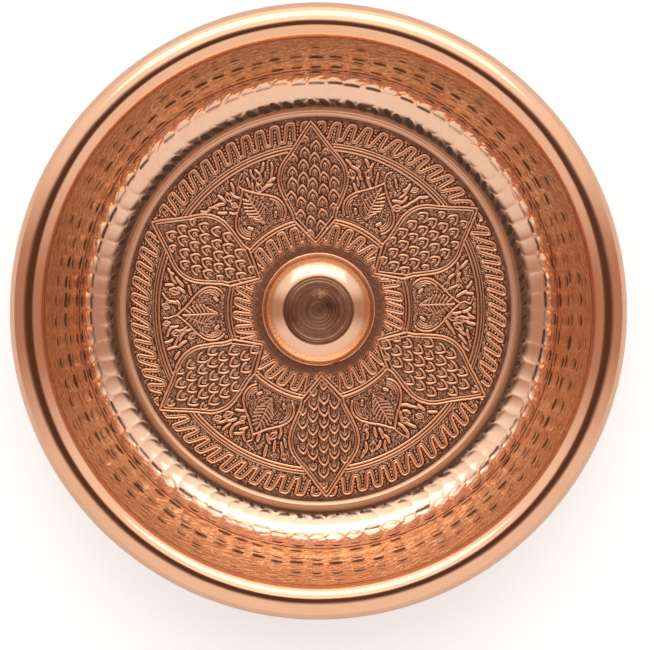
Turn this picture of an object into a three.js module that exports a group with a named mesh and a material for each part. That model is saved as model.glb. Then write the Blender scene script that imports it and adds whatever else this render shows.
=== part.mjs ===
// A hammered copper bath bowl: one raised sheet with a flat floor, a small bead round the floor,
// a steep wall and a thick rolled rim, a wire wrapped in the roll's outer edge, and a hollow
// boss brazed over a finger hole in the middle of the floor.
// Millimetres, +Z up along the bowl's axis. The origin is the centre of the base's underside.
import * as THREE from 'three';

// Overall sizes
const bowlRadius = 100;
const bowlHeight = 40;
const sheet = 1;

// Floor and the bead pressed up round it
const beadRadius = 65.8;
const beadWidth = 3;
const beadHeight = 0.7;
const beadToFillet = 0.2;
const filletRadius = 13;

// Rolled rim, measured on the skin that shows
const rollInnerRadius = 4.9;
const rollOuterRadius = 6.7;
const curlPastHalfTurn = 10;
const wireRadius = 3;
const wireGap = 0.3;

// Boss and the brazed joint at its foot
const bossFootRadius = 18.4;
const bossHeight = 11;
const bossSheet = 1;
const bossDomeRadius = 6.5;
const bossSideSlope = 75;
const bossSeat = 2.4;
const brazeLeg = 0.9;
const jointGap = 0.3;

// Steps of the round shapes
const turnSteps = 48;
const bossTurnSteps = 36;
const beadSteps = 6;
const filletSteps = 6;
const rollSteps = 5;
const curlSteps = 7;
const domeSteps = 5;
const wireSteps = 8;

const radians = THREE.MathUtils.degToRad;
const point = (radius, height) => new THREE.Vector2(radius, height);

// A line is a list of { at, under }: a point of the sheet's middle, and the unit normal there
// towards the skin that is the bowl's outside. Side is 1 where that skin is the arc's far one.
function arcLine(centre, radius, from, to, steps, side) {
  const line = [];
  for (let i = 0; i <= steps; i += 1) {
    const angle = radians(from + ((to - from) * i) / steps);
    const ray = point(Math.cos(angle), Math.sin(angle));
    const at = centre.clone().addScaledVector(ray, radius);
    line.push({ at, under: ray.multiplyScalar(side) });
  }
  return line;
}

// Both skins of a sheet that follows a middle line, as one closed outline.
function sheetOutline(line, thickness) {
  const outer = line.map((p) => p.at.clone().addScaledVector(p.under, thickness / 2));
  const inner = line.map((p) => p.at.clone().addScaledVector(p.under, -thickness / 2));
  return [...outer, ...inner.reverse(), outer[0].clone()];
}

// Turns a closed outline of (radius, height) points round the Z axis, with its faces out.
function revolve(outline, steps) {
  const area = outline.reduce((sum, p, i) => {
    const next = outline[(i + 1) % outline.length];
    return sum + p.x * next.y - next.x * p.y;
  }, 0);
  const ordered = area > 0 ? outline : [...outline].reverse();
  return new THREE.LatheGeometry(ordered, steps).rotateX(Math.PI / 2);
}

function piece(name, geometry, color, roughness) {
  const material = new THREE.MeshStandardMaterial({ color, roughness, metalness: 1 });
  const mesh = new THREE.Mesh(geometry, material);
  mesh.name = name;
  return mesh;
}

// The wall runs straight between the fillet at its foot and the inside of the rim's roll.
const floorMiddle = sheet / 2;
const filletStart = beadRadius + beadWidth / 2 + beadToFillet;
const filletMiddle = filletRadius + sheet / 2;
const filletCentre = point(filletStart, floorMiddle + filletMiddle);
const rollInnerMiddle = rollInnerRadius - sheet / 2;
const rollOuterMiddle = rollOuterRadius - sheet / 2;
const crestRadius = bowlRadius - rollOuterRadius;
const crestMiddle = bowlHeight - sheet / 2;
const rollCentre = point(crestRadius, crestMiddle - rollInnerMiddle);
const between = rollCentre.clone().sub(filletCentre);
const wallSlope = THREE.MathUtils.radToDeg(
  between.angle() + Math.asin((filletMiddle + rollInnerMiddle) / between.length()),
);

// The curl's lower half wraps the wire, which sits against the roll's outer side.
const curlMiddle = wireRadius + wireGap + sheet / 2;
const wireCentre = point(bowlRadius - sheet / 2 - curlMiddle, crestMiddle - rollOuterMiddle);
const outerCentre = point(crestRadius, crestMiddle - rollOuterMiddle);
const fingerHoleRadius = bossFootRadius - bossSheet - bossSeat;

function bowlLine() {
  const down = point(0, -1);
  const bead = [];
  for (let i = 0; i <= beadSteps; i += 1) {
    const along = i / beadSteps;
    const turn = 2 * Math.PI * along;
    const rise = (beadHeight * (1 - Math.cos(turn))) / 2;
    const slope = (beadHeight * Math.PI * Math.sin(turn)) / beadWidth;
    bead.push({
      at: point(beadRadius + beadWidth * (along - 0.5), floorMiddle + rise),
      under: point(slope, -1).normalize(),
    });
  }
  return [
    { at: point(fingerHoleRadius, floorMiddle), under: down },
    ...bead,
    ...arcLine(filletCentre, filletMiddle, -90, wallSlope - 90, filletSteps, 1),
    ...arcLine(rollCentre, rollInnerMiddle, wallSlope + 90, 90, rollSteps, -1),
    ...arcLine(outerCentre, rollOuterMiddle, 90, 0, rollSteps, -1).slice(1),
    ...arcLine(wireCentre, curlMiddle, 0, -180 - curlPastHalfTurn, curlSteps, -1).slice(1),
  ];
}

function bossOutline() {
  const bottom = sheet + jointGap;
  const top = sheet + bossHeight;
  const side = radians(bossSideSlope);
  const domeCentre = top - bossDomeRadius;
  const shoulderDrop = bossDomeRadius * (1 - Math.cos(side));
  const sideRun = (bossHeight - jointGap - shoulderDrop) / Math.tan(side);
  const flatRadius = bossFootRadius - sideRun - bossDomeRadius * Math.sin(side);
  const inset = bossSheet / Math.sin(side);
  const dome = (radius) => arcLine(point(flatRadius, domeCentre), radius, 90, 90 - bossSideSlope, domeSteps, 1);
  const outer = dome(bossDomeRadius).map((p) => p.at);
  const inner = dome(bossDomeRadius - bossSheet).map((p) => p.at);
  return [
    point(0, top),
    ...outer,
    point(bossFootRadius, bottom),
    point(bossFootRadius - inset, bottom),
    ...inner.reverse(),
    point(0, top - bossSheet),
  ];
}

// A hollow fillet of brazing metal in the corner between the boss's foot and the floor.
function brazeOutline() {
  const inner = bossFootRadius + jointGap;
  const bottom = sheet + jointGap;
  const hollow = arcLine(point(inner + brazeLeg, bottom + brazeLeg), brazeLeg * 0.8, 255, 195, 4, 1);
  return [
    point(inner, bottom),
    point(inner + brazeLeg, bottom),
    ...hollow.map((p) => p.at),
    point(inner, bottom + brazeLeg),
    point(inner, bottom),
  ];
}

function wireOutline() {
  return arcLine(wireCentre, wireRadius, 0, 360, wireSteps, 1).map((p) => p.at);
}

const bowl = new THREE.Group();
bowl.add(
  piece('bowl_shell', revolve(sheetOutline(bowlLine(), sheet), turnSteps), 0xc97a50, 0.22),
  piece('rim_wire', revolve(wireOutline(), turnSteps), 0x5f5a55, 0.55),
  piece('boss_cap', revolve(bossOutline(), bossTurnSteps), 0xd98a5c, 0.12),
  piece('boss_braze', revolve(brazeOutline(), bossTurnSteps), 0xe0a070, 0.3),
);

export default bowl;
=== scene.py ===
import math

import bmesh
import bpy
import numpy as np
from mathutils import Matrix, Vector


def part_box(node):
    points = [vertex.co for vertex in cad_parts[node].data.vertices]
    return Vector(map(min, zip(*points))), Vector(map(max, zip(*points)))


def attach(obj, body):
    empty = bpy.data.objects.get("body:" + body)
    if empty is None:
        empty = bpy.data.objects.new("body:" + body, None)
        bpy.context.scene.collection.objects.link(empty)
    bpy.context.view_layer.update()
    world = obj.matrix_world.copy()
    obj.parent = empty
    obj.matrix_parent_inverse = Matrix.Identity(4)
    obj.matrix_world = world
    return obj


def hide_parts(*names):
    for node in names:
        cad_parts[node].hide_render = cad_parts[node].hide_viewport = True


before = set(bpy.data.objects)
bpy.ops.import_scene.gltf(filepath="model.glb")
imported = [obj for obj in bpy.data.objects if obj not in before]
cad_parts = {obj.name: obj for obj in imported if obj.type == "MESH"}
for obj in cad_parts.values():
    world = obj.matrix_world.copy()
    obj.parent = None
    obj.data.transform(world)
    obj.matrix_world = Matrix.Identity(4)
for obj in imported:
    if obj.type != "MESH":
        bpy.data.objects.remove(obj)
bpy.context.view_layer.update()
print("frame loaded")

mm = 0.001  # every size below is in millimetres
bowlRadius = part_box("bowl_shell")[1].x / mm
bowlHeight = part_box("bowl_shell")[1].z / mm
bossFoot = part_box("boss_cap")[1].x / mm
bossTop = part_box("boss_cap")[1].z / mm
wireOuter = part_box("rim_wire")[1].x / mm
wireLow, wireHigh = (corner.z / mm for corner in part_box("rim_wire"))
luck = np.random.default_rng(11)

# The sheet, as the frame has it.
shell = {
    "sheet": 1.0,
    "holeRadius": bossFoot - 3.4,
    "beadRadius": 65.8,
    "beadWidth": 3.0,
    "beadHeight": 0.7,
    "filletStart": 67.5,
    "filletRadius": 13.0,
    "rollInner": 4.9,
    "rollOuter": 6.7,
    "curlTurn": 190,
    "step": 0.05,
}


def arc(centre, radius, start, end, side):
    # Points and inside normals along an arc of the sheet's middle, in degrees.
    count = max(2, int(abs(math.radians(end - start)) * radius / shell["step"]))
    angle = np.radians(np.linspace(start, end, count))
    ray = np.stack([np.cos(angle), np.sin(angle)], axis=1)
    return np.array(centre) + ray * radius, ray * side


def flatterArc(centre, radius):
    # A quarter turn from the crest outwards, a little flatter on top than a circle.
    power = 2.3
    turn = np.linspace(np.pi / 2, 0, 260)
    at = np.stack([np.cos(turn), np.sin(turn)], axis=1)
    up = at ** (2 * (power - 1) / power)
    return np.array(centre) + radius * at ** (2 / power), up / np.linalg.norm(up, axis=1, keepdims=True)


def sheetLine():
    # The middle of the sheet from the finger hole to the end of the curl, and where its parts join.
    half = shell["sheet"] / 2
    foot = np.array([shell["filletStart"], half + shell["filletRadius"] + half])
    footRadius = shell["filletRadius"] + half
    rollRadius = shell["rollInner"] - half
    crest = bowlRadius - shell["rollOuter"]
    roll = np.array([crest, bowlHeight - half - rollRadius])
    gap = roll - foot
    slope = math.degrees(math.atan2(gap[1], gap[0]) + math.asin((footRadius + rollRadius) / np.hypot(*gap)))
    outerRadius = shell["rollOuter"] - half
    outer = np.array([crest, bowlHeight - half - outerRadius])
    wire = np.array([wireOuter - (wireHigh - wireLow) / 2, outer[1]])
    curlRadius = bowlRadius - half - wire[0]

    along = np.arange(shell["holeRadius"], shell["filletStart"], shell["step"])
    turn = 2 * np.pi * np.clip((along - shell["beadRadius"]) / shell["beadWidth"] + 0.5, 0, 1)
    rise = shell["beadHeight"] * (1 - np.cos(turn)) / 2
    lean = shell["beadHeight"] * np.pi * np.sin(turn) / shell["beadWidth"]
    flat = np.stack([along, half + rise], axis=1)
    flatUp = np.stack([-lean, np.ones_like(lean)], axis=1) / np.hypot(lean, 1)[:, None]

    wallArc = arc(foot, footRadius, -90, slope - 90, -1)
    rollArc = arc(roll, rollRadius, slope + 90, 90, 1)
    count = int(np.hypot(*(rollArc[0][0] - wallArc[0][-1])) / shell["step"])
    share = np.linspace(0, 1, count + 1)[1:-1, None]
    wall = wallArc[0][-1] + share * (rollArc[0][0] - wallArc[0][-1])
    wallUp = np.repeat(wallArc[1][-1:], len(wall), axis=0)
    outerArc = flatterArc(outer, outerRadius)
    curl = arc(wire, curlRadius, 0, -shell["curlTurn"], 1)
    parts = [(flat, flatUp), wallArc, (wall, wallUp), rollArc,
             (outerArc[0][1:], outerArc[1][1:]), (curl[0][1:], curl[1][1:])]
    at = np.concatenate([p[0] for p in parts])
    up = np.concatenate([p[1] for p in parts])
    length = np.concatenate([[0], np.cumsum(np.hypot(*np.diff(at, axis=0).T))])
    rollStart = length[len(flat) + len(wallArc[0]) + len(wall)]
    return at, up, length, rollStart


lineAt, lineUp, lineLength, rollStart = sheetLine()


def onLine(length):
    # The sheet's middle and its inside normal at a length along it.
    at = np.stack([np.interp(length, lineLength, lineAt[:, k]) for k in (0, 1)], axis=-1)
    up = np.stack([np.interp(length, lineLength, lineUp[:, k]) for k in (0, 1)], axis=-1)
    return at, up / np.linalg.norm(up, axis=-1, keepdims=True)


def lengthAt(radius):
    # How far along the sheet it first reaches a radius.
    inside = lineLength < rollStart + 3
    return float(np.interp(radius, lineAt[inside, 0], lineLength[inside]))


def ripple(angle, along, waves, seed):
    # A gentle unevenness: a few waves round the bowl, each with its own reach along the sheet.
    draw = np.random.default_rng(seed)
    total = np.zeros(np.broadcast(angle, along).shape)
    for lowest, highest, reach, size in waves:
        for _ in range(5):
            number = draw.integers(lowest, highest + 1)
            phase, tilt = draw.uniform(0, 2 * np.pi, 2)
            swell = along / reach * draw.uniform(0.6, 1.4) + tilt
            total += size * np.sin(number * angle + phase) * np.cos(swell)
    return total


def gridPiece(name, points, closed, normals=None, values=None, welded=False):
    # A mesh from rows of points round the Z axis. Columns always join up, and rows do if closed.
    rows, columns = points.shape[:2]
    index = np.arange(rows * columns).reshape(rows, columns)
    below = index if closed else index[:-1]
    above = np.roll(index, -1, axis=0) if closed else index[1:]
    around = (below, np.roll(below, -1, axis=1), np.roll(above, -1, axis=1), above)
    quads = np.stack(around, axis=-1).reshape(-1, 4)
    corners = points.reshape(-1, 3)[quads]
    across = np.cross(corners[:, 2] - corners[:, 0], corners[:, 3] - corners[:, 1])
    if (across * corners.mean(axis=1)).sum() < 0:  # faces look outwards
        quads = quads[:, ::-1]
    mesh = bpy.data.meshes.new(name)
    mesh.vertices.add(rows * columns)
    mesh.vertices.foreach_set("co", (points * mm).astype(np.float32).ravel())
    mesh.loops.add(quads.size)
    mesh.loops.foreach_set("vertex_index", quads.astype(np.int32).ravel())
    mesh.polygons.add(len(quads))
    mesh.polygons.foreach_set("loop_start", np.arange(0, quads.size, 4, dtype=np.int32))
    mesh.polygons.foreach_set("use_smooth", np.ones(len(quads), dtype=bool))
    mesh.update(calc_edges=True)
    for label, field in (values or {}).items():
        layer = mesh.attributes.new(label, "FLOAT", "POINT")
        layer.data.foreach_set("value", field.astype(np.float32).ravel())
    if normals is not None:
        mesh.normals_split_custom_set_from_vertices(normals.reshape(-1, 3).astype(np.float32))
    mesh.validate()
    piece = bpy.data.objects.new(name, mesh)
    bpy.context.scene.collection.objects.link(piece)
    if welded:
        weld(mesh)
    return piece


def weld(mesh):
    # Joins the points that meet on the axis.
    work = bmesh.new()
    work.from_mesh(mesh)
    bmesh.ops.remove_doubles(work, verts=work.verts, dist=0.002 * mm)
    bmesh.ops.dissolve_degenerate(work, edges=work.edges, dist=0.0005 * mm)
    work.to_mesh(mesh)
    work.free()


def roundAngles(columns):
    return np.linspace(0, 2 * np.pi, columns, endpoint=False)[None, :]


def spun(radius, height, angle):
    # Points at a radius, a height and an angle round the Z axis.
    return np.stack(np.broadcast_arrays(radius * np.cos(angle), radius * np.sin(angle), height), axis=-1)


def turned(outline, columns):
    # An outline of (radius, height) points, turned round the Z axis.
    return spun(outline[:, 0, None], outline[:, 1, None], roundAngles(columns))


def softStep(value, low, high):
    share = np.clip((value - low) / (high - low), 0, 1)
    return share * share * (3 - 2 * share)


def swellAt(value, middle, width):
    # 1 at the middle, falling away softly on both sides.
    return np.exp(-((value - middle) / width) ** 2)


def unitAlong(points):
    # Directions along a line of points.
    along = np.gradient(points, axis=0)
    return along / np.maximum(np.linalg.norm(along, axis=1, keepdims=True), 1e-9)


def finishPiece(piece, material, slotName, *nodes):
    piece.data.materials.append(material)
    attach(piece, "root")
    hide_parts(*nodes)


# The engraving is drawn on a square plate: raised lines with a gutter on each side of them.
class Plate:
    def __init__(self, half, pitch):
        self.half, self.pitch = half, pitch
        self.marks = np.arange(-half, half + pitch, pitch)
        size = len(self.marks)
        self.raised = np.zeros((size, size), np.float32)
        self.sunk = np.zeros((size, size), np.float32)

    def line(self, points, width, height, gutter, depth, fade=False):
        points = np.asarray(points, float)
        reach = width / 2 + gutter
        bank = width * 0.35  # where the gutter starts
        count = len(points) - 1
        for k in range(count):
            a, b = points[k], points[k + 1]
            strength = math.sin(math.pi * (k + 0.5) / count) ** 0.6 if fade else 1.0
            low = np.floor((np.minimum(a, b) - reach + self.half) / self.pitch).astype(int)
            high = np.ceil((np.maximum(a, b) + reach + self.half) / self.pitch).astype(int) + 1
            if low.min() < 0 or high.max() > len(self.marks):
                continue
            x = self.marks[None, low[0]:high[0]] - a[0]
            y = self.marks[low[1]:high[1], None] - a[1]
            step = b - a
            share = np.clip((x * step[0] + y * step[1]) / max(step @ step, 1e-9), 0, 1)
            away = np.hypot(x - share * step[0], y - share * step[1])
            bump = np.cos(np.pi / 2 * np.clip(away / (width / 2), 0, 1)) ** 2 * height * strength
            ditch = np.sin(np.pi * np.clip((away - bank) / (reach - bank), 0, 1)) * depth * strength
            spot = (slice(low[1], high[1]), slice(low[0], high[0]))
            self.raised[spot] = np.maximum(self.raised[spot], bump)
            self.sunk[spot] = np.maximum(self.sunk[spot], ditch)

    def look(self, field, x, y):
        # The field's value at points, between its marks.
        u = np.clip((x + self.half) / self.pitch, 0, len(self.marks) - 1.001)
        v = np.clip((y + self.half) / self.pitch, 0, len(self.marks) - 1.001)
        i, j = u.astype(int), v.astype(int)
        u, v = u - i, v - j
        near = field[j, i] * (1 - u) + field[j, i + 1] * u
        far = field[j + 1, i] * (1 - u) + field[j + 1, i + 1] * u
        return near * (1 - v) + far * v


def smoothed(field, reach):
    # A soft blur: a running mean along each side, twice.
    for axis in (0, 1, 0, 1):
        margin = [(reach + 1, reach) if side == axis else (0, 0) for side in (0, 1)]
        total = np.cumsum(np.pad(field, margin, mode="edge"), axis=axis)
        size = field.shape[axis]
        ahead = np.take(total, np.arange(2 * reach + 1, 2 * reach + 1 + size), axis=axis)
        behind = np.take(total, np.arange(size), axis=axis)
        field = (ahead - behind) / (2 * reach + 1)
    return field


engraving = {
    "plateHalf": 65.0,
    "platePitch": 0.1,
    "turn": 32.4,  # degrees from +X to the first petal
    "petals": 6,
    "petalHalf": [(62.8, 0), (60.8, 1.6), (58.5, 3.25), (56.1, 4.9), (53.8, 6.5), (52.6, 7.4),
                  (50.1, 9.4), (47.4, 10.9), (44.1, 11.6), (40.7, 11.2), (37.4, 9.9), (34.7, 8.6),
                  (32.2, 7.45), (29.7, 6.85)],
    "petalInner": 22.1,
    "scalePitch": 4.15,
    "scaleColumn": 3.55,
    "outerRings": ((53.35, 0.85, 0.19), (54.4, 0.6, 0.13), (55.25, 0.45, 0.09)),
    "innerRings": ((30.3, 0.85, 0.19), (29.25, 0.6, 0.13), (31.2, 0.42, 0.09)),
    # the running waves: inner and outer edge, how many, and how far they lean in degrees
    "outerWaves": ((56.7, 62.4), 74, 1.9),
    "innerWaves": ((22.4, 28.1), 37, 2.6),
    "waveMargin": 0.9,
    "heartHalf": [(47.4, 0), (45.7, 1.4), (43.6, 3.3), (41.8, 5.4), (40.1, 7.1), (38.4, 8.3), (36.6, 8.85),
                  (34.7, 8.75), (33.0, 8.0), (31.9, 6.9)],
    "leaf": [(45.4, 0), (42.6, 1.3), (39.4, 2.9), (36.4, 3.5), (34.6, 2.2), (33.6, 0)],
    "veins": 8,
    "bladeTries": 90,
    "bladeGap": 1.9,
    "bladeLimit": 52.5,
    "dotPitch": 0.7,
    "dotGround": (22.3, 63.1),
    "cover": (19.8, 22.4, 63.0, 63.8),  # where the relief rises, and where it ends
}
# Chisel strokes: the line's width and height, its gutter's width and depth.
strokes = {
    "ring": (0.26, 0.13),
    "petalEdge": (0.72, 0.2, 0.3, 0.12),
    "petalLine": (0.5, 0.13, 0.24, 0.1),
    "tipLine": (0.46, 0.12, 0.24, 0.09),
    "tipHair": (0.42, 0.1, 0.24, 0.08),
    "scaleEdge": (0.8, 0.2, 0.32, 0.13),
    "scaleArch": (0.42, 0.13, 0.2, 0.09),
    "scaleRib": (0.4, 0.12, 0.2, 0.08),
    "waveBead": (0.6, 0.13, 0.2, 0.08),
    "waveEdge": (0.78, 0.21, 0.3, 0.14),
    "waveLine": (0.48, 0.12, 0.26, 0.12),
    "heartEdge": (0.76, 0.2, 0.34, 0.14),
    "heartLine": (0.44, 0.12, 0.24, 0.08),
    "leafEdge": (0.4, 0.08, 0.22, 0.07),
    "leafFaint": (0.4, 0.05, 0.22, 0.07),
    "vein": (0.5, 0.16, 0.22, 0.1),
    "veinFaint": (0.5, 0.16 * 0.55, 0.22, 0.1 * 0.55),
    "midrib": (0.5, 0.16, 0.26, 0.1),
    "lobe": (1.25, 0.15, 0.3, 0.1),
    "tendril": (0.5, 0.15, 0.26, 0.1),
    "bladeEdge": (0.46, 0.15, 0.24, 0.1),
    "bladeRib": (0.4, 0.13, 0.2, 0.08),
    "blade": (0.36, 0.14),
}


def bend(points, steps=5):
    # A smooth curve through the points.
    points = np.asarray(points, float)
    ends = np.vstack([2 * points[0] - points[1], points, 2 * points[-1] - points[-2]])
    share = np.linspace(0, 1, steps, endpoint=False)[:, None]
    curve = []
    for a, b, c, d in zip(ends, ends[1:], ends[2:], ends[3:]):
        curve.append(0.5 * (2 * b + (c - a) * share + (2 * a - 5 * b + 4 * c - d) * share ** 2
                            + (3 * b - a - 3 * c + d) * share ** 3))
    return np.vstack([*curve, points[-1:]])


def beside(points, away):
    # The same line, moved sideways.
    points = np.asarray(points, float)
    along = unitAlong(points)
    return points + away * np.stack([-along[:, 1], along[:, 0]], axis=1)


def placed(points, degrees):
    # Local (outward, sideways) points, turned to a direction on the floor.
    points = np.asarray(points, float)
    c, s = math.cos(math.radians(degrees)), math.sin(math.radians(degrees))
    return np.stack([points[:, 0] * c - points[:, 1] * s, points[:, 0] * s + points[:, 1] * c], axis=1)


def polar(radius, degrees):
    degrees = np.radians(degrees)
    return np.stack([radius * np.cos(degrees), radius * np.sin(degrees)], axis=-1)


def petalWidth(outward):
    # Half a petal's width at a distance from the middle of the floor.
    half = np.array(engraving["petalHalf"])[::-1]
    width = np.interp(outward, half[:, 0], half[:, 1], right=0)
    taper = (outward - engraving["petalInner"]) / (half[0, 0] - engraving["petalInner"]) * half[0, 1]
    return np.where(outward < half[0, 0], np.maximum(taper, 0), width)


def intoPetal(points):
    # How deep points lie inside the nearest petal, below 0 outside.
    radius = np.hypot(points[..., 0], points[..., 1])
    degrees = np.degrees(np.arctan2(points[..., 1], points[..., 0])) - engraving["turn"]
    off = (degrees + 30) % 60 - 30
    outward, sideways = radius * np.cos(np.radians(off)), radius * np.sin(np.radians(off))
    return petalWidth(outward) - np.abs(sideways)


def outside(plate, points, margin, stroke):
    # Draws the stretches of a line that keep clear of the petals.
    free = intoPetal(points) < -margin
    start = None
    for k, clear in enumerate([*free, False]):
        if clear and start is None:
            start = k
        elif not clear and start is not None:
            if k - start > 1:
                plate.line(points[start:k], *stroke)
            start = None


def drawPetal(plate, degrees):
    half = bend(engraving["petalHalf"], 4)
    taper = np.array([half[-1], (engraving["petalInner"], 0)])
    for side in (1, -1):
        flip = np.array([1, side])
        rough = luck.normal(0, 0.04, half.shape)
        within, beyond = [[1.1, -0.85], [1.5, 0.1]], [[0.9, -0.9], [1.25, 0]]
        plate.line(placed((half + rough) * flip, degrees), *strokes["petalEdge"])
        plate.line(placed(beside(half, 0.95)[2:-1] * flip, degrees), *strokes["petalLine"])
        plate.line(placed(taper * flip, degrees), *strokes["petalEdge"])
        plate.line(placed((taper + within) * flip, degrees), *strokes["tipLine"])
        plate.line(placed((taper - beyond) * flip, degrees), *strokes["tipHair"])
    drawScales(plate, degrees)


def drawScales(plate, degrees):
    # Pointed scales in staggered rows, each with a smaller arch and a rib in it.
    arch = bend([(-1.3, 1.5), (-0.3, 1.55), (0.7, 1.12), (1.45, 0.5), (1.9, 0)], 3)
    arch = np.vstack([arch, arch[-2::-1] * [1, -1]])
    pitch, column = engraving["scalePitch"], engraving["scaleColumn"]
    lean, shift = math.radians(luck.uniform(-6, 6)), luck.uniform(-0.5, 0.5)
    width, height, gutter, depth = strokes["scaleEdge"]
    for row in range(-1, 22):
        for place in range(-4, 5):
            if (row + place) % 2:
                continue
            outward = engraving["petalInner"] + 3.2 + shift + pitch * row / 2
            sideways = place * column + math.sin(lean) * (outward - 42)
            room = min(petalWidth(outward), petalWidth(outward + 1.4)) - abs(sideways)
            if room < 1.2:
                continue
            size = luck.uniform(0.9, 1.06) * (1 if room > 2.5 else 0.72)
            middle = np.array([outward, sideways]) + luck.normal(0, 0.1, 2)
            turn = luck.normal(0, 0.07)
            spin = np.array([[math.cos(turn), -math.sin(turn)], [math.sin(turn), math.cos(turn)]])
            shape = arch @ spin * size
            high = height * luck.uniform(0.8, 1.1)
            rib = np.array([(-1.6, 0), (-0.5, 0)]) @ spin * size
            plate.line(placed(shape + middle, degrees), width, high, gutter, depth, fade=True)
            plate.line(placed(shape * 0.45 + middle - [0.55, 0], degrees), *strokes["scaleArch"], fade=True)
            plate.line(placed(rib + middle, degrees), *strokes["scaleRib"])


def drawWave(plate, band, waves, lean):
    # A running ribbon of leaning loops, with beads in its pockets.
    low, high = band
    margin = engraving["waveMargin"]
    middle, reach = (low + high) / 2, (high - low) / 2
    step = np.linspace(0, 1, 26, endpoint=False)
    period = 360 / waves
    ribbon = []
    for k in range(waves):
        slack = luck.uniform(0.88, 1.02)
        place = 2 * math.pi * k / waves
        slant = lean * (1 + 0.55 * math.sin(2 * place + 1.1)) * luck.uniform(0.8, 1.2)
        sharp = 3.6 + 1.0 * math.sin(3 * place + 0.4)
        swing = np.tanh(sharp * np.sin(2 * np.pi * step)) / math.tanh(sharp)
        degrees = engraving["turn"] - (k + step) * period - slant * swing / 2 + luck.normal(0, 0.1)
        ribbon.append(polar(middle + reach * swing * slack, degrees))
        for phase, way in ((0.25, -0.22), (0.75, 0.22)):
            for bead in np.linspace(-0.62, 0.5, 4) * (1 if way < 0 else -1):
                at = engraving["turn"] - (k + phase) * period - slant * (bead + way) / 2
                spot = polar(middle + reach * (bead + way * 0.6), at) + luck.normal(0, 0.07, 2)
                if intoPetal(spot) < -margin:
                    plate.line([spot, spot + luck.normal(0, 0.08, 2)], *strokes["waveBead"])
    ribbon = np.vstack([*ribbon, ribbon[0][:1]])
    outside(plate, beside(ribbon, 0.36), margin, strokes["waveEdge"])
    outside(plate, beside(ribbon, -0.36), margin, strokes["waveLine"])


def drawHeart(plate, degrees):
    half = bend(engraving["heartHalf"], 4)
    plain = luck.choice((-1, 1))
    lean = luck.uniform(-0.35, 0.35)
    for side in (1, -1):
        flip = np.array([1, side])
        rough = luck.normal(0, 0.035, half.shape)
        plate.line(placed((half + rough) * flip, degrees), *strokes["heartEdge"])
        for ring in range(3):
            inset = beside(half, 1.0 + 0.7 * ring)[len(half) // 2 - 3 + 5 * ring:]
            plate.line(placed(inset * flip, degrees), *strokes["heartLine"])
        # The leaf in the middle: its edge, then its veins.
        edge, vein = ("leafEdge", "veinFaint") if side == plain else ("leafFaint", "vein")
        plate.line(placed(bend(engraving["leaf"], 3) * flip, degrees), *strokes[edge])
        for k in range(engraving["veins"]):
            root = 34.2 + 1.22 * k
            far = min(3.3, 1.4 + 0.8 * k, 0.5 * (46.2 - root))
            branch = np.array([(root, 0.3 + lean * 0.2), (root + 0.75, far * 0.55), (root + 1.7, far)])
            plate.line(placed(branch * flip, degrees), *strokes[vein])
        spot = np.array([33.9, 4.2]) + luck.normal(0, 0.25, 2)
        plate.line(placed([spot * flip, (spot + [1.0, 0.8]) * flip], degrees), *strokes["lobe"])
    plate.line(placed([(33.7, 0), (45.4, lean)], degrees), *strokes["midrib"])
    drawLeaves(plate, degrees)


def drawLeaves(plate, degrees):
    # Loose leaves and blades over the heart, and the tendril at its tip.
    curl, end = luck.uniform(-1.4, 1.4), luck.uniform(-2.6, 2.6)
    tendril = bend([(47.4, 0), (49.0, 0.5), (50.6, curl), (51.8, end)], 4)
    plate.line(placed(tendril, degrees), *strokes["tendril"])
    for side in (1, -1):
        kept = []
        for _ in range(engraving["bladeTries"]):
            root = np.array([luck.uniform(40.5, 51.6), luck.uniform(1.6, 17)])
            heading = math.atan2(root[1], root[0] - 37) + luck.normal(0, 0.45)
            tip = root + luck.uniform(2.5, 3.9) * np.array([math.cos(heading), math.sin(heading)])
            middle = (root + tip) / 2
            reached = placed([root, middle, tip], degrees)
            heart = np.interp(middle[0], *np.array(engraving["heartHalf"])[::-1].T) + 1.5
            crowded = any(np.hypot(*(middle - other)) < engraving["bladeGap"] for other in kept)
            strays = np.hypot(*reached.T).max() > engraving["bladeLimit"] or intoPetal(reached).max() > -1.0
            if crowded or strays or middle[1] < heart:
                continue
            kept.append(middle)
            wide = (tip - root)[::-1] * [-1, 1] * side
            root, middle, tip, wide = (point * [1, side] for point in (root, middle, tip, wide))
            if len(kept) % 4 == 0:
                for way in (0.3, -0.3):
                    bow = bend([root, middle + wide * way, tip], 4)
                    plate.line(placed(bow, degrees), *strokes["bladeEdge"])
                plate.line(placed([root, tip], degrees), *strokes["bladeRib"])
            else:
                bow = bend([root, middle + wide * luck.uniform(-0.16, 0.16), tip], 4)
                thick, high = luck.uniform(1.0, 1.5), luck.uniform(0.18, 0.24)
                plate.line(placed(bow, degrees), thick, high, *strokes["blade"], fade=True)


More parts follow.
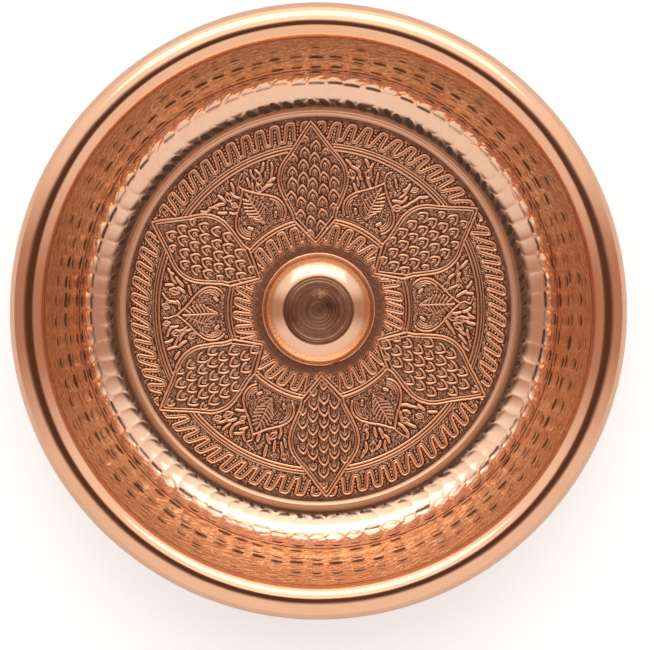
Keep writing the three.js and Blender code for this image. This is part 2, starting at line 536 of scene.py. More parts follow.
def matting(plate):
    # Punched dots fill whatever ground is left, as one field over the plate.
    pitch = engraving["dotPitch"]
    x, y = plate.marks[None, :] / pitch, plate.marks[:, None] / (pitch * 0.87)
    draw = np.random.default_rng(17)
    size = 256
    jitter = draw.uniform(-0.24, 0.24, (size, size, 2))
    tall = draw.uniform(0.08, 0.18, (size, size))
    row = np.floor(y).astype(int)
    field = np.zeros_like(plate.raised, float)
    for down in (-1, 0, 1):
        j = row + down
        slide = 0.5 * (j % 2)
        column = np.floor(x - slide).astype(int)
        for along in (-1, 0, 1):
            i = column + along
            u = x - slide - i - 0.5 - jitter[j % size, i % size, 0]
            v = y - j - 0.5 - jitter[j % size, i % size, 1]
            near = np.clip(1 - (u * u + v * v) / 0.2, 0, 1)
            field = np.maximum(field, near * tall[j % size, i % size])
    radius = np.hypot(plate.marks[None, :], plate.marks[:, None])
    low, high = engraving["dotGround"]
    ground = (plate.raised < 0.02) & (plate.sunk < 0.05) & (radius > low) & (radius < high)
    inPetal = softStep(intoPetal(np.stack(np.meshgrid(plate.marks, plate.marks), axis=-1)), -0.2, 0.6)
    return (field - 0.06) * smoothed(ground.astype(float), 1) * (1 - 0.45 * inPetal)


def engrave():
    plate = Plate(engraving["plateHalf"], engraving["platePitch"])
    for k in range(engraving["petals"]):
        drawPetal(plate, engraving["turn"] + 60 * k)
    for ring in ("outerRings", "innerRings"):
        for radius, width, height in engraving[ring]:
            stroke = (width, height, *strokes["ring"])
            outside(plate, polar(radius, np.linspace(0, 360, 481)), 0.3, stroke)
    drawWave(plate, *engraving["outerWaves"])
    drawWave(plate, *engraving["innerWaves"])
    for k in range(engraving["petals"]):
        drawHeart(plate, engraving["turn"] + 30 + 60 * k)
    return plate


def grains(x, y):
    # A fine, uneven pitting.
    draw = np.random.default_rng(29)
    total = np.zeros(np.broadcast(x, y).shape)
    for size in (1.3, 2.0, 3.0):
        for _ in range(5):
            way, phase = draw.uniform(0, np.pi), draw.uniform(0, 2 * np.pi)
            length = size * draw.uniform(0.9, 1.3)
            total += np.sin((x * np.cos(way) + y * np.sin(way)) * 2 * np.pi / length + phase)
    return total / 3


def reliefOf(plate):
    # Height over the floor's skin, its slopes, and how dark each place is painted: patina with painted shade
    # in the recesses.
    x, y = plate.marks[None, :], plate.marks[:, None]
    radius, angle = np.hypot(x, y), np.arctan2(y, x)
    first, full, last, end = engraving["cover"]
    cover = softStep(radius, first, full) * (1 - softStep(radius, last, end))
    height = (np.where(plate.raised > 0.03, plate.raised, plate.raised - plate.sunk) + matting(plate)) * cover
    height = smoothed(height.astype(np.float64), 1)
    # Patina in the recesses, made darker as painted shade where the relief hides them, and a darker ring at
    # the floor's outer edge.
    cavity = smoothed(height, 8) - height
    dirt = np.maximum(softStep(cavity, -0.06, 0.035) * cover, 0.8 * softStep(radius, 62.6, 63.2))
    height = height + ripple(angle, radius, [(2, 6, 14, 0.006), (7, 16, 7, 0.0025)], 5) * cover
    rubbed = softStep(radius, 18.4, 19.2) * (1 - softStep(radius, 21, 23))
    height = height + 0.012 * grains(x, y) * rubbed
    slopeY, slopeX = np.gradient(height, plate.pitch)
    return height, slopeX, slopeY, dirt


plate = engrave()
floorRelief = reliefOf(plate)
print("engraving drawn")

floorLook = {
    # from, to, columns, spacing
    "rings": ((shell["holeRadius"], 35.4, 980, 0.21), (35.4, 47.1, 1480, 0.186),
              (47.1, 56.5, 1840, 0.186), (56.5, 64.3, 2150, 0.186)),
    "skin": shell["sheet"],
    "belly": 0.45,  # where the engraved skin closes, inside the sheet
    "underColumns": 420,
    "underSpacing": 0.45,
    "underDimples": (6.5, 0.05, 21),  # spacing, depth, seed
}


def floorRing(name, low, high, columns, spacing):
    rows = int((high - low) / spacing) + 1
    angle = roundAngles(columns)
    radius = np.linspace(low, high, rows)[:, None] * np.ones_like(angle)
    x, y = radius * np.cos(angle), radius * np.sin(angle)
    height, slopeX, slopeY, dirt = (plate.look(field, x, y) for field in floorRelief)
    top = spun(radius, floorLook["skin"] + height, angle)
    ends = [spun(radius[[k]], floorLook["belly"], angle) for k in (-1, 0)]
    normal = np.stack([-slopeX, -slopeY, np.ones_like(slopeX)], axis=-1)
    normal /= np.linalg.norm(normal, axis=-1, keepdims=True)
    down = np.zeros((2, columns, 3))
    down[..., 2] = -1
    points = np.concatenate([top, *ends])
    normals = np.concatenate([normal, down])
    dirtAndShadeRows = np.concatenate([dirt, np.zeros((2, columns))])
    return gridPiece(name, points, True, normals, {"dirt": dirtAndShadeRows})


def baseUnderside():
    # The base's own skin: planished flat, with the groove behind the bead left to the wall.
    angle = roundAngles(floorLook["underColumns"])
    low, high = shell["holeRadius"], floorLook["rings"][-1][1]
    radius = np.arange(low, high, floorLook["underSpacing"])
    radius = np.append(radius, high)[:, None] * np.ones_like(angle)
    marks = dimples(radius * np.cos(angle), radius * np.sin(angle), *floorLook["underDimples"])
    fade = softStep(radius, low, low + 3) * (1 - softStep(radius, high - 3, high))
    bottom = spun(radius, marks * fade, angle)
    roof = [spun(radius[[k]], floorLook["belly"] - 0.1, angle) for k in (-1, 0)]
    return gridPiece("baseUnderside", np.concatenate([bottom, *roof]), True)


def dimples(x, y, pitch, depth, seed):
    # Overlapping round hammer marks on a plane, as shallow hollows that meet in ridges.
    draw = np.random.default_rng(seed)
    size = 64
    jitter = draw.uniform(-0.3, 0.3, (size, size, 2))
    level = draw.uniform(0, 0.35, (size, size))
    i, j = np.floor(x / pitch).astype(int), np.floor(y / pitch).astype(int)
    best = np.full(np.broadcast(x, y).shape, 9.0)
    for di in (-1, 0, 1):
        for dj in (-1, 0, 1):
            a, b = (i + di) % size, (j + dj) % size
            u = x / pitch - (i + di) - 0.5 - jitter[a, b, 0]
            v = y / pitch - (j + dj) - 0.5 - jitter[a, b, 1]
            best = np.minimum(best, u * u + v * v + level[a, b])
    return best * depth


# The wall: rows of long hammer marks in columns, inside and out.
wall = {
    "start": floorLook["rings"][-1][1],
    "scribed": 79.8,
    "columns": 1080,
    "footSpacing": (0.43, 1.2),  # of the rows inside and outside
    "sideSpacing": (0.36, 1.7),
    "marks": 78,
    # middle radius, half length, half width, depth, how dark its ends are
    "rows": [(87.4, 1.9, 2.0, 0.07, 0.5), (84.95, 4.7, 2.35, 0.34, 1.0), (81.75, 3.9, 2.3, 0.3, 0.85),
             (77.75, 3.0, 2.75, 0.36, 0.75), (72.9, 3.5, 2.95, 0.085, 0.0)],
    "pits": {"depth": 0.042, "across": 0.66, "dirt": 0.26, "from": (74.5, 77)},
    # the row of punched marks at the foot
    "rope": {"radius": 68.9, "marks": 104, "wide": 1.7, "tall": 1.1, "lean": 0.4, "depth": 0.035},
    "outerRows": 6,
    "outerMarks": 84,
}


def hammered(angle, along, radius):
    # Depth of the inside hammer marks, and the darkening at their ends: oxide held there and painted shade.
    draw = np.random.default_rng(3)
    marks = wall["marks"]
    cell = 2 * np.pi / marks
    shape = np.broadcast(angle, along).shape
    depth, lip, dirt = np.zeros(shape), np.zeros(shape), np.zeros(shape)
    drift = 0.10 * np.sin(np.arange(marks) * 0.41)
    for middle, tall, wide, deep, dark in wall["rows"]:
        centre = lengthAt(middle)
        shift = draw.normal(0, 0.045, marks) + drift
        drop = draw.normal(0, 0.3, marks)
        size = draw.uniform(0.84, 1.1, marks)
        strength = deep * draw.uniform(0.55, 1.25, marks)
        topEndDirtAndShade, footEndDirtAndShade = dark * draw.uniform(0.25, 1.3, (2, marks))
        lean = draw.normal(0, 0.08, marks)
        base = np.floor(angle / cell).astype(int)
        for offset in (-1, 0, 1):
            which = (base + offset) % marks
            side = (angle - (base + offset + 0.5 + shift[which]) * cell) * radius
            up = (along - centre - drop[which]) / (tall * size[which])
            side = side / (wide * size[which]) - up * lean[which]
            far = side ** 2 + np.abs(up) ** 2.6
            hollow = np.clip(1 - far, 0, 1)
            dish = 0.55 * hollow + 0.45 * np.sqrt(hollow + 0.004) - 0.028
            depth = np.maximum(depth, strength[which] * dish)
            lip = np.maximum(lip, 0.28 * strength[which] * swellAt(np.sqrt(far), 1.12, 0.13))
            # The caps, creases and dashes at the mark ends are painted dark: oxide held there and painted
            # shade where their slopes face away from the light.
            across = np.clip(1.05 - side ** 2, 0, 1)
            cap = softStep(up, 0.42, 0.66) * softStep(hollow, 0, 0.16)
            dash = swellAt(up, -0.9, 0.17) * softStep(across, 0, 0.4)
            crease = swellAt(up, 0.25, 0.07) * softStep(across, 0.2, 0.6) * 0.5
            heldDirtAndShade = np.maximum(topEndDirtAndShade[which] * np.maximum(cap, crease), footEndDirtAndShade[which] * dash)
            dirt = np.maximum(dirt, heldDirtAndShade)
    rope = wall["rope"]
    cell = 2 * np.pi / rope["marks"]
    which = np.floor(angle / cell).astype(int) % rope["marks"]
    loose = draw.normal(0, 1, (3, rope["marks"]))
    side = ((angle / cell) % 1 - 0.5 + 0.06 * loose[0][which]) * cell * radius
    up = along - lengthAt(rope["radius"]) - 0.22 * loose[1][which] - rope["lean"] * side
    big = (0.8 + 0.3 * np.sin(angle)) * (1 + 0.15 * loose[2][which])
    far = (side / (rope["wide"] * big)) ** 2 + (up / (rope["tall"] * big)) ** 2
    punched = np.clip(1 - far, 0, 1)
    depth = np.maximum(depth, rope["depth"] * punched)
    dirt = np.maximum(dirt, softStep(punched, 0.0, 0.45))
    line = lengthAt(wall["scribed"]) + 0.35 * ripple(angle, along * 0, [(2, 9, 1, 0.3)], 12)
    scribed = swellAt(along, line, 0.3)
    return lip - depth - 0.07 * scribed, np.clip(np.maximum(dirt, 0.85 * scribed), 0, 1)


def planished(angle, along, radius):
    # The outside is covered with overlapping facets.
    draw = np.random.default_rng(8)
    marks, rows = wall["outerMarks"], wall["outerRows"]
    cell = 2 * np.pi / marks
    start, end = lengthAt(wall["start"]) + 2, rollStart + 3
    pitch = (end - start) / rows
    base = np.floor(angle / cell).astype(int)
    row = np.floor((along - start) / pitch).astype(int)
    jitter = draw.uniform(-0.17, 0.17, (rows + 4, marks, 2))
    level = draw.uniform(0, 0.35, (rows + 4, marks))
    best = np.full(np.broadcast(angle, along).shape, 9.0)
    for down in (-1, 0, 1):
        line = np.clip(row + down + 2, 0, rows + 3)
        for offset in (-1, 0, 1):
            which = (base + offset) % marks
            u = angle / cell - (base + offset) - 0.5 - 0.5 * ((row + down) % 2) - jitter[line, which, 0]
            v = (along - start) / pitch - (row + down) - 0.5 - jitter[line, which, 1]
            best = np.minimum(best, u * u + v * v + level[line, which])
    fade = softStep(along, start - 2, start + 3) * (1 - softStep(along, end - 4, end))
    return -(0.45 - best) * 0.5 * fade


def skins(along, angle, inside, under):
    # The two skins of a stretch of sheet moved by their marks, with their normals. The first and last
    # rows are there for the normals and are left off.
    at, up = onLine(along[:, 0])
    half = shell["sheet"] / 2
    points, normals = [], []
    for sign, marks in ((1, inside), (-1, under)):
        radius = at[:, 0, None] + sign * up[:, 0, None] * (half + marks)
        height = at[:, 1, None] + sign * up[:, 1, None] * (half + marks)
        skin = spun(radius, height, angle)
        around = np.roll(skin, -1, axis=1) - np.roll(skin, 1, axis=1)
        normal = np.cross(around, np.gradient(skin, axis=0)) * sign
        normal /= np.maximum(np.linalg.norm(normal, axis=-1, keepdims=True), 1e-9)
        facing = spun(up[:, 0, None], up[:, 1, None], angle) * sign
        normal *= np.sign((normal * facing).sum(axis=-1, keepdims=True))
        points.append(skin[1:-1])
        normals.append(normal[1:-1])
    return points, normals


def lengths(start, end, spacing):
    # Even steps along the sheet, with one more past each end for the normals.
    count = int((end - start) / spacing)
    step = (end - start) / count
    return np.linspace(start - step, end + step, count + 3)[:, None]


def wallStretch(name, start, end, spacing, outerSpacing):
    # Fine rows inside and coarser ones outside, closed at both ends.
    angle = roundAngles(wall["columns"])
    first, last = lengthAt(wall["start"]), rollStart
    grain = wall["pits"]
    pieces = []
    for side, apart in enumerate((spacing, outerSpacing)):
        along = np.clip(lengths(start, end, apart), lineLength[0], lineLength[-1])
        radius = onLine(along[:, 0])[0][:, 0, None]
        edge = softStep(along, first + 2.7, first + 3.5) * (1 - softStep(along, last - 1.1, last - 0.3))
        if side == 0:
            marks, dirt = hammered(angle, along, radius)
            waves = ripple(angle, along, [(3, 9, 18, 0.012), (10, 30, 9, 0.008), (40, 120, 3, 0.006)], 6)
            fade = softStep(along, *(lengthAt(place) for place in grain["from"]))
            pits = grains(angle * radius * grain["across"], along) * fade
            waves = waves + grain["depth"] * pits
            dirt = np.maximum(dirt, grain["dirt"] * softStep(-pits, 0.6, 2.0))
            rolled = swellAt(along, last - 0.35, 0.22)
            marks = (marks + waves) * edge - 0.05 * rolled
            besideBead = 0.85 * swellAt(radius, 64.55, 0.55) + 0.8 * swellAt(radius, 67.25, 0.32)
            # What goes on to the mesh is oxide, speckle and painted shade together.
            dirt = np.clip(dirt * edge + 0.7 * rolled + besideBead, 0, 1)
        else:
            marks = planished(angle, along, radius) * edge * (along > first + 4)
            dirt = np.zeros_like(marks)
        both, facing = skins(along, angle, marks, marks)
        pieces.append((both[side], facing[side], dirt[1:-1]))
    (top, topFacing, topDirtAndShade), (under, underFacing, underDirtAndShade) = pieces
    points = np.concatenate([top, under[::-1]])
    normals = np.concatenate([topFacing, underFacing[::-1]])
    values = {
        "dirt": np.concatenate([topDirtAndShade, underDirtAndShade[::-1]]),
        "worked": np.concatenate([np.ones_like(topDirtAndShade), np.full_like(underDirtAndShade, 0.2)]),
    }
    return gridPiece(name, points, True, normals, values)


rim = {"columns": 720, "spacing": 0.42, "wireColumns": 360, "wireSides": 28}


def rolledRim():
    angle = roundAngles(rim["columns"])
    start, end = rollStart, lineLength[-1]
    along = np.minimum(lengths(start, end, rim["spacing"]), end)
    edge = softStep(along, start, start + 2)
    waves = ripple(angle, along, [(2, 7, 9, 0.016), (8, 22, 5, 0.009), (30, 60, 4, 0.003)], 9) * edge
    (top, under), (topFacing, underFacing) = skins(along, angle, waves, waves * 0)
    underFacing[-1] = underFacing[-2]
    topFacing[-1] = topFacing[-2]
    points, normals = np.concatenate([top, under[::-1]]), np.concatenate([topFacing, underFacing[::-1]])
    return gridPiece("rolledRim", points, True, normals)


def rimWire():
    radius = (wireHigh - wireLow) / 2
    turn = roundAngles(rim["wireSides"])[0]
    middle = (wireOuter - radius, (wireLow + wireHigh) / 2)
    outline = middle + radius * np.stack([np.cos(turn), np.sin(turn)], axis=1)
    return gridPiece("rimWireCore", turned(outline, rim["wireColumns"]), True)


boss = {
    "sheet": 1.0, "columns": 360, "foot": shell["sheet"],
    # how far out, and how steep the side is there
    "slopes": [(10.8, 0), (11.5, 11), (12.5, 20), (13.5, 27), (14.5, 31), (15.5, 34), (16.5, 38), (17.3, 46),
               (17.9, 60), (18.25, 76), (18.4, 87)],
}


def bossOutline(inset):
    # Half the boss's section, from the middle of its top to its foot: a flat disc, a domed shoulder
    # and a short upright side.
    radius = np.linspace(0, bossFoot - 0.02, 180)
    radius = radius + 0.02 * (radius / radius[-1]) ** 8
    slope = np.tan(np.radians(np.interp(radius, *np.array(boss["slopes"]).T)))
    height = bossTop - np.concatenate([[0], np.cumsum((slope[1:] + slope[:-1]) / 2 * np.diff(radius))])
    side = np.linspace(height[-1], boss["foot"] + 0.02, 12)[1:]
    upright = np.stack([np.full_like(side, bossFoot), side], axis=1)
    outline = np.vstack([np.stack([radius, height], axis=1), upright])
    if not inset:
        return outline
    along = unitAlong(outline)
    moved = outline + inset * np.stack([along[:, 1], -along[:, 0]], axis=1)
    moved[:, 0] = np.clip(moved[:, 0], 0, bossFoot - inset)
    moved[:, 1] = np.maximum(moved[:, 1], boss["foot"] + 0.02)
    return moved[::3]


def bossPiece():
    outer, inner = bossOutline(0), bossOutline(boss["sheet"])
    angle = roundAngles(boss["columns"])
    radius, height = outer[:, 0, None] * np.ones_like(angle), outer[:, 1, None] * np.ones_like(angle)
    # The top was turned: fine rings, two scribed ones, a shallow dish and a worn, uneven middle.
    top = 1 - softStep(radius, 10.9, 11.9)
    lines = 0.0065 * np.sin(radius * 7.6 + 1.4 * np.sin(radius * 2.1)) + 0.003 * np.sin(radius * 13.0)
    scribed = -0.03 * swellAt(radius, 9.6, 0.16) - 0.02 * swellAt(radius, 6.1, 0.14)
    dish = -0.16 * (1 - softStep(radius, 0, 11.0)) - 0.05 * softStep(radius, 10.2, 10.9)
    worn = ripple(angle, radius, [(1, 4, 4, 0.006)], 31) * softStep(radius, 0.5, 3)
    height = height + (lines * softStep(radius, 0.3, 1.5) + scribed + dish + worn) * top
    height -= max(0, float(height.max()) - bossTop)
    points = np.concatenate([spun(radius, height, angle), turned(inner[::-1], boss["columns"])])
    return gridPiece("bossCup", points, False, welded=True)


# How wide the ring is, and the nick in it: its direction and its reach, in degrees.
braze = {"leg": 0.56, "columns": 480, "nick": -72, "nickReach": 3.2}


def brazeRing():
    angle = roundAngles(braze["columns"])[0]
    uneven = 1 + ripple(angle, np.zeros_like(angle), [(3, 9, 1, 0.03), (12, 40, 1, 0.02)], 4)
    away = np.degrees(np.abs((angle - math.radians(braze["nick"]) + np.pi) % (2 * np.pi) - np.pi))
    width = braze["leg"] * uneven * (1 - 0.75 * swellAt(away, 0, braze["nickReach"]))
    inner, foot = bossFoot - 0.35, boss["foot"]
    rows = []
    for turn in np.radians(np.linspace(270, 180, 9)):
        outward = inner + 0.2 + width * (1 + 0.86 * np.cos(turn))
        rows.append(spun(outward, foot + width * (1 + 0.98 * np.sin(turn)), angle))
    for outward, height in ((inner, foot + width), (inner, foot - 0.1), (inner + 0.2 + width, foot - 0.1)):
        rows.append(spun(outward, height, angle))
    return gridPiece("bossBraze", np.stack(rows), True)


def opaque(color):
    return (*color, 1.0)


# Shader maths: a socket that can be added, multiplied and so on.
class Value:
    def __init__(self, tree, socket):
        self.tree, self.socket = tree, socket

    def join(self, operation, first, second=0.0):
        made = self.tree.nodes.new("ShaderNodeMath")
        made.operation = operation
        for slotNumber, given in enumerate((first, second)):
            if isinstance(given, Value):
                self.tree.links.new(given.socket, made.inputs[slotNumber])
            else:
                made.inputs[slotNumber].default_value = given
        return Value(self.tree, made.outputs[0])

    def __add__(self, other):
        return self.join("ADD", self, other)

    def __radd__(self, other):
        return self.join("ADD", other, self)

    def __sub__(self, other):
        return self.join("SUBTRACT", self, other)

    def __rsub__(self, other):
        return self.join("SUBTRACT", other, self)

    def __mul__(self, other):
        return self.join("MULTIPLY", self, other)

    def __rmul__(self, other):
        return self.join("MULTIPLY", other, self)

    def __lt__(self, other):
        return self.join("LESS_THAN", self, other)

    def __truediv__(self, other):
        return self.join("DIVIDE", self, other)

    def __pow__(self, other):
        return self.join("POWER", self, other)


class Shader:
    def __init__(self, tree):
        self.tree = tree
        tree.nodes.clear()

    def node(self, kind, settings=None, inputs=None, out=0):
        made = self.tree.nodes.new("ShaderNode" + kind)
        for label, setting in (settings or {}).items():
            if label == "stops":
                for stop in range(len(setting) - 2):
                    made.color_ramp.elements.new(0.5)
                for element, (place, color) in zip(made.color_ramp.elements, setting):
                    element.position, element.color = place, color
            else:
                setattr(made, label, setting)
        for label, given in (inputs or {}).items():
            if isinstance(given, Value):
                self.tree.links.new(given.socket, made.inputs[label])
            else:
                made.inputs[label].default_value = given
        return Value(self.tree, made.outputs[out])

    def end(self, kind, given):
        made = self.tree.nodes.new("ShaderNode" + kind)
        self.tree.links.new(given.socket, made.inputs["Surface"])

    def mix(self, share, first, second):
        return self.node("Mix", {"data_type": "RGBA"}, {0: share, 6: first, 7: second}, 2)

    def ramp(self, share, *stops):
        # Each stop is a place and a grey level or a colour.
        whole = []
        for place, shade in stops:
            whole.append((place, opaque(shade if isinstance(shade, tuple) else (shade, shade, shade))))
        return self.node("ValToRGB", {"stops": whole}, {"Fac": share})

    def noise(self, where, scale, detail=3.0, rough=0.55):
        inputs = {"Vector": where, "Scale": scale, "Detail": detail, "Roughness": rough}
        return self.node("TexNoise", None, inputs)

    def axes(self, where):
        parts = self.node("SeparateXYZ", None, {"Vector": where})
        return [Value(self.tree, socket) for socket in parts.socket.node.outputs]


def spot(shader, x, y, middle, flat, reach, uneven):
    # A soft-edged mark, in millimetres from the centre line, flattened from front to back.
    across, up = x / mm - middle[0], y / mm - middle[1]
    away = ((across * across + up * up * flat) ** 0.5 + (uneven - 0.5) * 5.0) / reach
    return shader.ramp(away, (0.0, 1.0), (1.0, 0.0))


def copper(name, look):
    # Polished copper: cloudy tone, fine rings from turning, dirt with painted shade in the hollows and faint
    # scratches.
    material = bpy.data.materials.new(name)
    material.use_nodes = True
    shader = Shader(material.node_tree)
    place = shader.node("TexCoord", out="Object")
    x, y, z = shader.axes(place)
    radius = (x * x + y * y) ** 0.5 / mm
    ringed = shader.node("CombineXYZ", None, {"X": radius * mm, "Y": z, "Z": x * 0.02})
    cloud = shader.noise(place, 38.0, 4.0)
    rings = shader.noise(ringed, look["ringScale"], 4.0, 0.7)
    tone = shader.mix(shader.ramp(cloud, (0.3, 0.0), (0.7, 1.0)), opaque(look["color"]), opaque(look["warm"]))
    tone = shader.mix(rings * look["ringTone"], tone, opaque(look["deep"]))
    grime = shader.noise(place, 420.0, 3.0)
    if look.get("mottle"):
        worked = shader.node("Attribute", {"attribute_name": "worked"}, out="Fac")
        tone = shader.mix((1 - worked) * 0.9, tone, opaque(look["outside"]))
        speck = shader.ramp(shader.noise(place, 640.0, 3.0, 0.6), (0.46, 0.0), (0.6, 1.0))
        tone = shader.mix(speck * worked * look["mottle"], tone, opaque(look["deep"]))
        stain = shader.ramp(shader.noise(place, 230.0, 5.0, 0.7), (0.52, 0.0), (0.64, 1.0))
        tone = shader.mix(stain * worked * look["mottle"], tone, opaque(look["stain"]))
    if look.get("dirt"):
        # Patina and painted shade from the mesh attribute darken the hollows and the ends of the hammer
        # marks; worn is that share.
        heldDirtAndShade = shader.node("Attribute", {"attribute_name": "dirt"}, out="Fac")
        worn = shader.ramp(heldDirtAndShade * (0.75 + grime * 0.5), (look["dirtAndShadeFrom"], 0.0), (look["dirtAndShadeTo"], 1.0))
        tone = shader.mix(worn * look["dirt"], tone, opaque(look["soilAndShade"]))
    if look.get("bead"):
        # The bead round the base is as dull as the engraving beside it.
        bead = shader.ramp((radius + cloud * 0.4 - look["beadEnd"]) / 0.7, (0.0, 1.0), (1.0, 0.0))
        tone = shader.mix(bead * look["bead"], tone, opaque(look["beadTone"]))
    if look.get("heatAndShade"):
        # Tempering colours on the floor round the brazed boss, with painted shade that is darkest near the
        # boss's foot.
        start, reach = look["heatBand"]
        near = (radius + cloud * 2.6 - start) / reach
        heatAndShadeShare = shader.ramp(near, (0.0, 0.25), (0.16, 1.0), (0.5, 0.8), (1.0, 0.0))
        tint = shader.ramp(near, *look["heatAndShadeTones"])
        tone = shader.mix(heatAndShadeShare * look["heatAndShade"], tone, tint)
    if look.get("turned"):
        # The flat top is duller than the side, with a darker worn patch on it.
        disc = shader.ramp(radius - look["disc"], (0.0, 1.0), (1.0, 0.0))
        patch = shader.ramp(shader.noise(place, 95.0, 3.0, 0.6), (0.35, 0.0), (0.65, 1.0))
        tone = shader.mix(disc * (0.4 + patch * 0.55), tone, opaque(look["topTone"]))
        smudge = spot(shader, x, y, (3.2, 1.6), 2.0, 5.0, cloud)
        broken = shader.ramp(shader.noise(place, 900.0, 4.0, 0.7), (0.42, 0.0), (0.58, 1.0))
        smear = spot(shader, x, y, (0.4, 5.6), 3.0, 3.4, cloud) * broken
        tone = shader.mix(smudge * 0.75, tone, opaque(look["smudge"]))
        tone = shader.mix(smear * 0.7, tone, opaque(look["smear"]))
    surface = {"Base Color": tone, "Metallic": 1.0}
    roughness = look["roughness"] + (rings - 0.5) * look["ringRough"] + (cloud - 0.5) * 0.05
    if look.get("dirt"):
        roughness = roughness + worn * look["dirtRough"]
    if look.get("bead"):
        roughness = roughness + bead * 0.2
    if look.get("turned"):
        roughness = roughness + disc * (look["turned"] + (rings - 0.5) * 0.3) + smear * 0.25
    surface["Roughness"] = roughness
    fine = rings * look["ringBump"] + grime * look["grain"] + shader.noise(place, 130.0, 2.0) * look["swell"]
    surface["Normal"] = shader.node("Bump", None, {"Height": fine, "Strength": 1.0, "Distance": 0.001})
    made = shader.node("BsdfPrincipled", None, surface)
    shader.end("OutputMaterial", made)
    return material


copperLook = {
    "color": (0.94, 0.62, 0.44), "warm": (0.92, 0.56, 0.37), "deep": (0.80, 0.38, 0.22),
    "roughness": 0.14, "ringScale": 900.0, "ringTone": 0.12, "ringRough": 0.08, "ringBump": 0.004,
    "grain": 0.004, "swell": 0.02, "dirtRough": 0.2,
}
floorCopper = copper("engravedCopper", {
    **copperLook, "color": (0.98, 0.53, 0.34), "warm": (0.94, 0.46, 0.27), "roughness": 0.26,
    "dirt": 0.96, "dirtAndShadeFrom": 0.3, "dirtAndShadeTo": 0.92, "soilAndShade": (0.078, 0.021, 0.007), "grain": 0.012,
    "heatAndShade": 0.6, "heatBand": (18.0, 8.0),  # where it starts, and how far it reaches
    "heatAndShadeTones": [(0.0, (0.52, 0.22, 0.12)), (0.35, (0.38, 0.14, 0.08)), (0.7, (0.46, 0.18, 0.09))],
})
hammerLook = {
    **copperLook, "color": (1.0, 0.76, 0.52), "warm": (1.0, 0.70, 0.45), "deep": (0.76, 0.37, 0.19),
    "stain": (0.68, 0.29, 0.14), "outside": (0.93, 0.53, 0.35), "roughness": 0.24,
    "dirt": 0.9, "dirtAndShadeFrom": 0.08, "dirtAndShadeTo": 0.6, "soilAndShade": (0.10, 0.035, 0.015),
    "ringScale": 300.0, "ringTone": 0.05, "ringBump": 0.0, "ringRough": 0.0, "grain": 0.10, "swell": 0.05,
}
wallCopper = copper("hammeredCopper", {**hammerLook, "mottle": 0.5})
footCopper = copper("footCopper", {
    **hammerLook, "color": (0.96, 0.66, 0.49), "warm": (0.95, 0.62, 0.44), "soilAndShade": (0.06, 0.023, 0.012),
    "roughness": 0.16, "grain": 0.006, "swell": 0.02, "mottle": 0.06,
    "bead": 0.75, "beadTone": (0.80, 0.44, 0.28), "beadEnd": 67.1,
})
rimCopper = copper("rolledCopper", {
    **copperLook, "color": (0.96, 0.59, 0.40), "warm": (0.94, 0.54, 0.35), "roughness": 0.13,
    "ringTone": 0.22, "ringBump": 0.014, "ringRough": 0.16,
})
bossCopper = copper("turnedCopper", {
    **copperLook, "ringScale": 1500.0, "ringBump": 0.02, "ringRough": 0.16, "turned": 0.13, "disc": 10.6,
    "topTone": (0.44, 0.155, 0.075), "smudge": (0.12, 0.045, 0.03), "smear": (0.95, 0.50, 0.27),
})
brazeMetal = copper("brazeMetal", {
    **copperLook, "color": (0.97, 0.64, 0.46), "roughness": 0.34, "grain": 0.02,
})
ironWire = copper("ironWire", {
    **copperLook, "color": (0.20, 0.18, 0.17), "warm": (0.24, 0.19, 0.15), "deep": (0.1, 0.08, 0.07),
    "roughness": 0.5,
})

for number, ring in enumerate(floorLook["rings"], 1):
    finishPiece(floorRing(f"engravedFloor{number}", *ring), floorCopper, "shell_copper", "bowl_shell")
finishPiece(baseUnderside(), wallCopper, "shell_copper", "bowl_shell")
scribed = lengthAt(wall["scribed"])
foot = wallStretch("hammeredFoot", lengthAt(wall["start"]), scribed, *wall["footSpacing"])
finishPiece(foot, footCopper, "shell_copper", "bowl_shell")
side = wallStretch("hammeredWall", scribed, rollStart, *wall["sideSpacing"])
finishPiece(side, wallCopper, "shell_copper", "bowl_shell")
finishPiece(rolledRim(), rimCopper, "shell_copper", "bowl_shell")
finishPiece(rimWire(), ironWire, "iron_wire", "rim_wire")
finishPiece(bossPiece(), bossCopper, "boss_copper", "boss_cap")
finishPiece(brazeRing(), brazeMetal, "braze_metal", "boss_braze")
print("pieces made")

studio = {
    "distance": 1.1,
    "tilt": 1.7,
    "aside": Vector((0.0028, -0.0043)),
    "spread": 1.06,  # half the view's width over the bowl's radius
    "white": (1.07, 1.035, 0.99),
    "dim": (0.40, 0.207, 0.134),
    "overhead": (0.092, 0.042, 0.025),
    "glow": (1.45, 1.38, 1.30),
    # how white the walls are, from behind the bowl, round its sides, to ahead of it
    "walls": [(0.0, 0.8), (0.25, 0.7), (0.42, 0.12), (0.58, 0.12), (0.75, 0.85), (1.0, 1.0)],
    "paper": (0.82, 0.86, 0.89),
    "backdrop": (0.96, 0.955, 0.95),
    "key": ((0.0, 0.95, 0.85), (1.6, 0.6), 3.6),  # place, size, power
}


def camera():
    data = bpy.data.cameras.new("camera")
    data.lens = data.sensor_width / 2 * studio["distance"] / (bowlRadius * mm * studio["spread"])
    data.clip_start, data.clip_end = 0.01, 20
    eye = bpy.data.objects.new("camera", data)
    tilt = math.radians(studio["tilt"])
    middle = Vector((studio["aside"].x, studio["aside"].y, (bowlHeight - shell["rollOuter"]) * mm))
    eye.location = middle + studio["distance"] * Vector((0, math.sin(tilt), math.cos(tilt)))
    eye.rotation_euler = (-tilt, 0, 0)
    bpy.context.scene.collection.objects.link(eye)
    bpy.context.scene.camera = eye


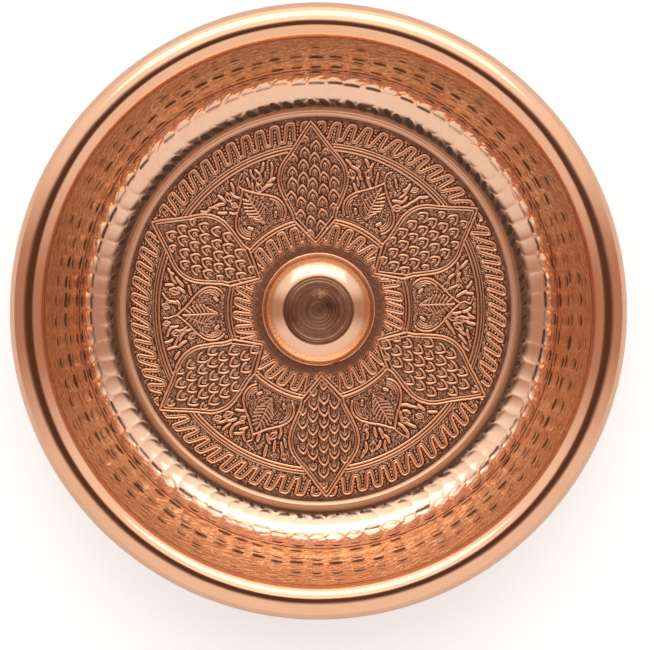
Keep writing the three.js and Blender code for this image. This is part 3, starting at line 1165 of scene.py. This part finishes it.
def floorSheet():
    mesh = bpy.data.meshes.new("studioFloor")
    mesh.from_pydata([(-6, -6, 0), (6, -6, 0), (6, 6, 0), (-6, 6, 0)], [], [(0, 1, 2, 3)])
    piece = bpy.data.objects.new("studioFloor", mesh)
    bpy.context.scene.collection.objects.link(piece)
    material = bpy.data.materials.new("paleFloor")
    material.use_nodes = True
    surface = material.node_tree.nodes["Principled BSDF"]
    surface.inputs["Base Color"].default_value = opaque(studio["paper"])
    surface.inputs["Emission Strength"].default_value = 0.4
    path = material.node_tree.nodes.new("ShaderNodeLightPath")
    material.node_tree.links.new(path.outputs["Is Camera Ray"], surface.inputs["Emission Color"])
    surface.inputs["Roughness"].default_value = 0.75
    mesh.materials.append(material)


def softLight(name, place, size, power):
    data = bpy.data.lights.new(name, "AREA")
    data.shape, data.size, data.size_y, data.energy = "RECTANGLE", size[0], size[1], power
    lamp = bpy.data.objects.new(name, data)
    lamp.location = place
    lamp.rotation_euler = (Vector((0, 0, 0.02)) - Vector(place)).to_track_quat("-Z", "Y").to_euler()
    bpy.context.scene.collection.objects.link(lamp)


def surroundings():
    world = bpy.data.worlds.new("studio")
    bpy.context.scene.world = world
    world.use_nodes = True
    shader = Shader(world.node_tree)
    toward = shader.node("TexCoord", out="Generated")
    x, y, z = shader.axes(toward)
    level = (x * x + y * y) ** 0.5 + 0.0001
    ahead = y / level
    # White walls in front and behind, dim ones at the sides, a glow over the far one, and the dark
    # ceiling round the camera, longer from side to side.
    facing = ahead * 0.5 + 0.5
    bright = shader.ramp(facing, *studio["walls"])
    sky = shader.mix(bright, opaque(studio["dim"]), opaque(studio["white"]))
    glow = shader.ramp(facing, (0.86, 0.0), (1.0, 1.0))
    sky = shader.mix(glow, sky, opaque(studio["glow"]))
    off = ((x * 2.1) ** 2 + ((y + 0.05) * 3.6) ** 2) ** 0.5 + (z < 0.1) * 3.0
    over = shader.ramp(off * 0.5, (0.3, 1.0), (0.42, 0.6), (0.56, 0.0))
    sky = shader.mix(over, sky, opaque(studio["overhead"]))
    seen = shader.node("LightPath", out="Is Camera Ray")
    sky = shader.mix(seen, sky, opaque(studio["backdrop"]))
    back = shader.node("Background", None, {"Color": sky, "Strength": 1.0})
    shader.end("OutputWorld", back)


camera()
floorSheet()
surroundings()
softLight("keyLight", *studio["key"])
bpy.context.scene.view_settings.view_transform = "Standard"
bpy.context.scene.cycles.max_bounces = 10
bpy.context.scene.cycles.glossy_bounces = 8
print("studio set")
